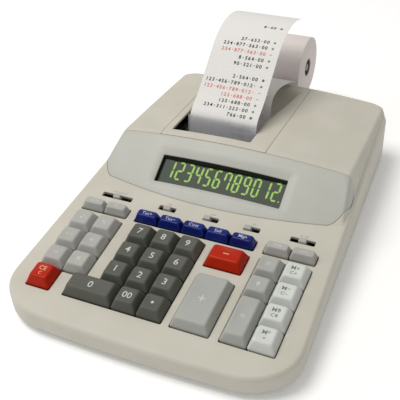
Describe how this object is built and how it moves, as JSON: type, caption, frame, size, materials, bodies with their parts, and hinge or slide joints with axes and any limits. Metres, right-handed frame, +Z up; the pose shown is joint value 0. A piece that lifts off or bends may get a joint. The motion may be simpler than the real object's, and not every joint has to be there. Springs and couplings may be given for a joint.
{
  "type": "desk calculator",
  "caption": "Printing desk calculator with sprung keys on a sloped deck, a green segment display, slide switches and a paper roll behind the case.",
  "frame": {"origin": "on the table, under the middle of the object's box", "axes": "+Y from the keyboard to the paper roll, +X to the right, +Z up"},
  "size_m": [0.2174, 0.365, 0.1116],
  "materials": {
    "case": "fine moulded texture, warm beige-grey",
    "fascia": "smooth satin moulding, slightly cooler grey",
    "dark_key": "satin moulded cap with printed numeral",
    "light_key": "satin moulded cap with printed legend",
    "grey_key": "satin moulded cap with printed legend",
    "white_key": "satin moulded cap with printed legend",
    "blue_key": "semi-gloss moulded cap with printed legend",
    "red_key": "semi-gloss moulded cap with printed legend",
    "knob": "ribbed moulded thumb piece",
    "pane": "dark green filter",
    "tube": "display tube behind the filter",
    "smoked": "smoked clear plastic with a tear edge",
    "paper": "uncoated adding-machine paper",
    "rubber": "matt black rubber",
    "frame_metal": "plated sheet steel",
    "board": "glass-epoxy circuit board",
    "silicone": "silicone key mat",
    "holder": "moulded grey arm and axle"
  },
  "bodies": {
    "root": {"base_case": "case", "top_case": "case", "display_fascia": "fascia", "display_window": "pane", "display_tube": "tube", "printer_cover": "case", "tear_window": "smoked", "paper_strip": "paper", "roll_holder": "holder", "printer_frame": "frame_metal", "main_board": "board", "dome_mat": "silicone", "foot_1": "rubber", "foot_2": "rubber", "foot_3": "rubber", "foot_4": "rubber"},
    "key_shift": {"key_shift": "light_key"},
    "key_multiply": {"key_multiply": "light_key"},
    "key_sign": {"key_sign": "light_key"},
    "key_divide": {"key_divide": "light_key"},
    "key_back": {"key_back": "light_key"},
    "key_percent": {"key_percent": "light_key"},
    "key_rate": {"key_rate": "light_key"},
    "key_exchange": {"key_exchange": "light_key"},
    "key_count": {"key_count": "light_key"},
    "key_average": {"key_average": "light_key"},
    "key_0": {"key_0": "dark_key"},
    "key_00": {"key_00": "dark_key"},
    "key_point": {"key_point": "dark_key"},
    "key_1": {"key_1": "dark_key"},
    "key_2": {"key_2": "dark_key"},
    "key_3": {"key_3": "dark_key"},
    "key_4": {"key_4": "dark_key"},
    "key_5": {"key_5": "dark_key"},
    "key_6": {"key_6": "dark_key"},
    "key_7": {"key_7": "dark_key"},
    "key_8": {"key_8": "dark_key"},
    "key_9": {"key_9": "dark_key"},
    "key_plus": {"key_plus": "grey_key"},
    "key_total": {"key_total": "grey_key"},
    "key_subtotal": {"key_subtotal": "grey_key"},
    "key_non_add": {"key_non_add": "grey_key"},
    "key_memory_total": {"key_memory_total": "white_key"},
    "key_memory_subtotal": {"key_memory_subtotal": "white_key"},
    "key_memory_minus": {"key_memory_minus": "white_key"},
    "key_memory_plus": {"key_memory_plus": "white_key"},
    "key_tax_plus": {"key_tax_plus": "blue_key"},
    "key_tax_minus": {"key_tax_minus": "blue_key"},
    "key_cost": {"key_cost": "blue_key"},
    "key_sell": {"key_sell": "blue_key"},
    "key_margin": {"key_margin": "blue_key"},
    "key_clear": {"key_clear": "red_key"},
    "key_minus": {"key_minus": "red_key"},
    "knob_rounding": {"knob_rounding": "knob"},
    "knob_decimal": {"knob_decimal": "knob"},
    "knob_print": {"knob_print": "knob"},
    "knob_grand_total": {"knob_grand_total": "knob"},
    "knob_mode": {"knob_mode": "knob"},
    "paper_roll": {"paper_roll": "paper"},
    "platen_roller": {"platen_roller": "rubber"}
  },
  "joints": [
    {"name": "key_shift_press", "type": "slide", "parent": "root", "child": "key_shift", "axis": [0, 0.1045, -0.9945], "range_m": [0, 0.003], "stiffness_N_per_m": 200, "springref_m": -0.0015},
    {"name": "key_multiply_press", "type": "slide", "parent": "root", "child": "key_multiply", "axis": [0, 0.1045, -0.9945], "range_m": [0, 0.003], "stiffness_N_per_m": 200, "springref_m": -0.0015},
    {"name": "key_sign_press", "type": "slide", "parent": "root", "child": "key_sign", "axis": [0, 0.1045, -0.9945], "range_m": [0, 0.003], "stiffness_N_per_m": 200, "springref_m": -0.0015},
    {"name": "key_divide_press", "type": "slide", "parent": "root", "child": "key_divide", "axis": [0, 0.1045, -0.9945], "range_m": [0, 0.003], "stiffness_N_per_m": 200, "springref_m": -0.0015},
    {"name": "key_back_press", "type": "slide", "parent": "root", "child": "key_back", "axis": [0, 0.1045, -0.9945], "range_m": [0, 0.003], "stiffness_N_per_m": 200, "springref_m": -0.0015},
    {"name": "key_percent_press", "type": "slide", "parent": "root", "child": "key_percent", "axis": [0, 0.1045, -0.9945], "range_m": [0, 0.003], "stiffness_N_per_m": 200, "springref_m": -0.0015},
    {"name": "key_rate_press", "type": "slide", "parent": "root", "child": "key_rate", "axis": [0, 0.1045, -0.9945], "range_m": [0, 0.003], "stiffness_N_per_m": 200, "springref_m": -0.0015},
    {"name": "key_exchange_press", "type": "slide", "parent": "root", "child": "key_exchange", "axis": [0, 0.1045, -0.9945], "range_m": [0, 0.003], "stiffness_N_per_m": 200, "springref_m": -0.0015},
    {"name": "key_count_press", "type": "slide", "parent": "root", "child": "key_count", "axis": [0, 0.1045, -0.9945], "range_m": [0, 0.003], "stiffness_N_per_m": 200, "springref_m": -0.0015},
    {"name": "key_average_press", "type": "slide", "parent": "root", "child": "key_average", "axis": [0, 0.1045, -0.9945], "range_m": [0, 0.003], "stiffness_N_per_m": 200, "springref_m": -0.0015},
    {"name": "key_0_press", "type": "slide", "parent": "root", "child": "key_0", "axis": [0, 0.1045, -0.9945], "range_m": [0, 0.003], "stiffness_N_per_m": 200, "springref_m": -0.0015},
    {"name": "key_00_press", "type": "slide", "parent": "root", "child": "key_00", "axis": [0, 0.1045, -0.9945], "range_m": [0, 0.003], "stiffness_N_per_m": 200, "springref_m": -0.0015},
    {"name": "key_point_press", "type": "slide", "parent": "root", "child": "key_point", "axis": [0, 0.1045, -0.9945], "range_m": [0, 0.003], "stiffness_N_per_m": 200, "springref_m": -0.0015},
    {"name": "key_1_press", "type": "slide", "parent": "root", "child": "key_1", "axis": [0, 0.1045, -0.9945], "range_m": [0, 0.003], "stiffness_N_per_m": 200, "springref_m": -0.0015},
    {"name": "key_2_press", "type": "slide", "parent": "root", "child": "key_2", "axis": [0, 0.1045, -0.9945], "range_m": [0, 0.003], "stiffness_N_per_m": 200, "springref_m": -0.0015},
    {"name": "key_3_press", "type": "slide", "parent": "root", "child": "key_3", "axis": [0, 0.1045, -0.9945], "range_m": [0, 0.003], "stiffness_N_per_m": 200, "springref_m": -0.0015},
    {"name": "key_4_press", "type": "slide", "parent": "root", "child": "key_4", "axis": [0, 0.1045, -0.9945], "range_m": [0, 0.003], "stiffness_N_per_m": 200, "springref_m": -0.0015},
    {"name": "key_5_press", "type": "slide", "parent": "root", "child": "key_5", "axis": [0, 0.1045, -0.9945], "range_m": [0, 0.003], "stiffness_N_per_m": 200, "springref_m": -0.0015},
    {"name": "key_6_press", "type": "slide", "parent": "root", "child": "key_6", "axis": [0, 0.1045, -0.9945], "range_m": [0, 0.003], "stiffness_N_per_m": 200, "springref_m": -0.0015},
    {"name": "key_7_press", "type": "slide", "parent": "root", "child": "key_7", "axis": [0, 0.1045, -0.9945], "range_m": [0, 0.003], "stiffness_N_per_m": 200, "springref_m": -0.0015},
    {"name": "key_8_press", "type": "slide", "parent": "root", "child": "key_8", "axis": [0, 0.1045, -0.9945], "range_m": [0, 0.003], "stiffness_N_per_m": 200, "springref_m": -0.0015},
    {"name": "key_9_press", "type": "slide", "parent": "root", "child": "key_9", "axis": [0, 0.1045, -0.9945], "range_m": [0, 0.003], "stiffness_N_per_m": 200, "springref_m": -0.0015},
    {"name": "key_plus_press", "type": "slide", "parent": "root", "child": "key_plus", "axis": [0, 0.1045, -0.9945], "range_m": [0, 0.003], "stiffness_N_per_m": 200, "springref_m": -0.0015},
    {"name": "key_total_press", "type": "slide", "parent": "root", "child": "key_total", "axis": [0, 0.1045, -0.9945], "range_m": [0, 0.003], "stiffness_N_per_m": 200, "springref_m": -0.0015},
    {"name": "key_subtotal_press", "type": "slide", "parent": "root", "child": "key_subtotal", "axis": [0, 0.1045, -0.9945], "range_m": [0, 0.003], "stiffness_N_per_m": 200, "springref_m": -0.0015},
    {"name": "key_non_add_press", "type": "slide", "parent": "root", "child": "key_non_add", "axis": [0, 0.1045, -0.9945], "range_m": [0, 0.003], "stiffness_N_per_m": 200, "springref_m": -0.0015},
    {"name": "key_memory_total_press", "type": "slide", "parent": "root", "child": "key_memory_total", "axis": [0, 0.1045, -0.9945], "range_m": [0, 0.003], "stiffness_N_per_m": 200, "springref_m": -0.0015},
    {"name": "key_memory_subtotal_press", "type": "slide", "parent": "root", "child": "key_memory_subtotal", "axis": [0, 0.1045, -0.9945], "range_m": [0, 0.003], "stiffness_N_per_m": 200, "springref_m": -0.0015},
    {"name": "key_memory_minus_press", "type": "slide", "parent": "root", "child": "key_memory_minus", "axis": [0, 0.1045, -0.9945], "range_m": [0, 0.003], "stiffness_N_per_m": 200, "springref_m": -0.0015},
    {"name": "key_memory_plus_press", "type": "slide", "parent": "root", "child": "key_memory_plus", "axis": [0, 0.1045, -0.9945], "range_m": [0, 0.003], "stiffness_N_per_m": 200, "springref_m": -0.0015},
    {"name": "key_tax_plus_press", "type": "slide", "parent": "root", "child": "key_tax_plus", "axis": [0, 0.1045, -0.9945], "range_m": [0, 0.003], "stiffness_N_per_m": 200, "springref_m": -0.0015},
    {"name": "key_tax_minus_press", "type": "slide", "parent": "root", "child": "key_tax_minus", "axis": [0, 0.1045, -0.9945], "range_m": [0, 0.003], "stiffness_N_per_m": 200, "springref_m": -0.0015},
    {"name": "key_cost_press", "type": "slide", "parent": "root", "child": "key_cost", "axis": [0, 0.1045, -0.9945], "range_m": [0, 0.003], "stiffness_N_per_m": 200, "springref_m": -0.0015},
    {"name": "key_sell_press", "type": "slide", "parent": "root", "child": "key_sell", "axis": [0, 0.1045, -0.9945], "range_m": [0, 0.003], "stiffness_N_per_m": 200, "springref_m": -0.0015},
    {"name": "key_margin_press", "type": "slide", "parent": "root", "child": "key_margin", "axis": [0, 0.1045, -0.9945], "range_m": [0, 0.003], "stiffness_N_per_m": 200, "springref_m": -0.0015},
    {"name": "key_clear_press", "type": "slide", "parent": "root", "child": "key_clear", "axis": [0, 0.1045, -0.9945], "range_m": [0, 0.003], "stiffness_N_per_m": 200, "springref_m": -0.0015},
    {"name": "key_minus_press", "type": "slide", "parent": "root", "child": "key_minus", "axis": [0, 0.1045, -0.9945], "range_m": [0, 0.003], "stiffness_N_per_m": 200, "springref_m": -0.0015},
    {"name": "knob_rounding_slide", "type": "slide", "parent": "root", "child": "knob_rounding", "axis": [1, 0, 0], "range_m": [-0.0098, 0.0098]},
    {"name": "knob_decimal_slide", "type": "slide", "parent": "root", "child": "knob_decimal", "axis": [1, 0, 0], "range_m": [-0.00395, 0.00395]},
    {"name": "knob_print_slide", "type": "slide", "parent": "root", "child": "knob_print", "axis": [1, 0, 0], "range_m": [0, 0.0061]},
    {"name": "knob_grand_total_slide", "type": "slide", "parent": "root", "child": "knob_grand_total", "axis": [1, 0, 0], "range_m": [0, 0.0064]},
    {"name": "knob_mode_slide", "type": "slide", "parent": "root", "child": "knob_mode", "axis": [1, 0, 0], "range_m": [-0.00615, 0.00615]},
    {"name": "paper_roll_turn", "type": "hinge", "parent": "root", "child": "paper_roll", "pos_m": [-0.017, 0.1555, 0.0491], "axis": [1, 0, 0], "continuous": true},
    {"name": "platen_roller_turn", "type": "hinge", "parent": "root", "child": "platen_roller", "pos_m": [-0.018, 0.0315, 0.04], "axis": [1, 0, 0], "continuous": true}
  ]
}
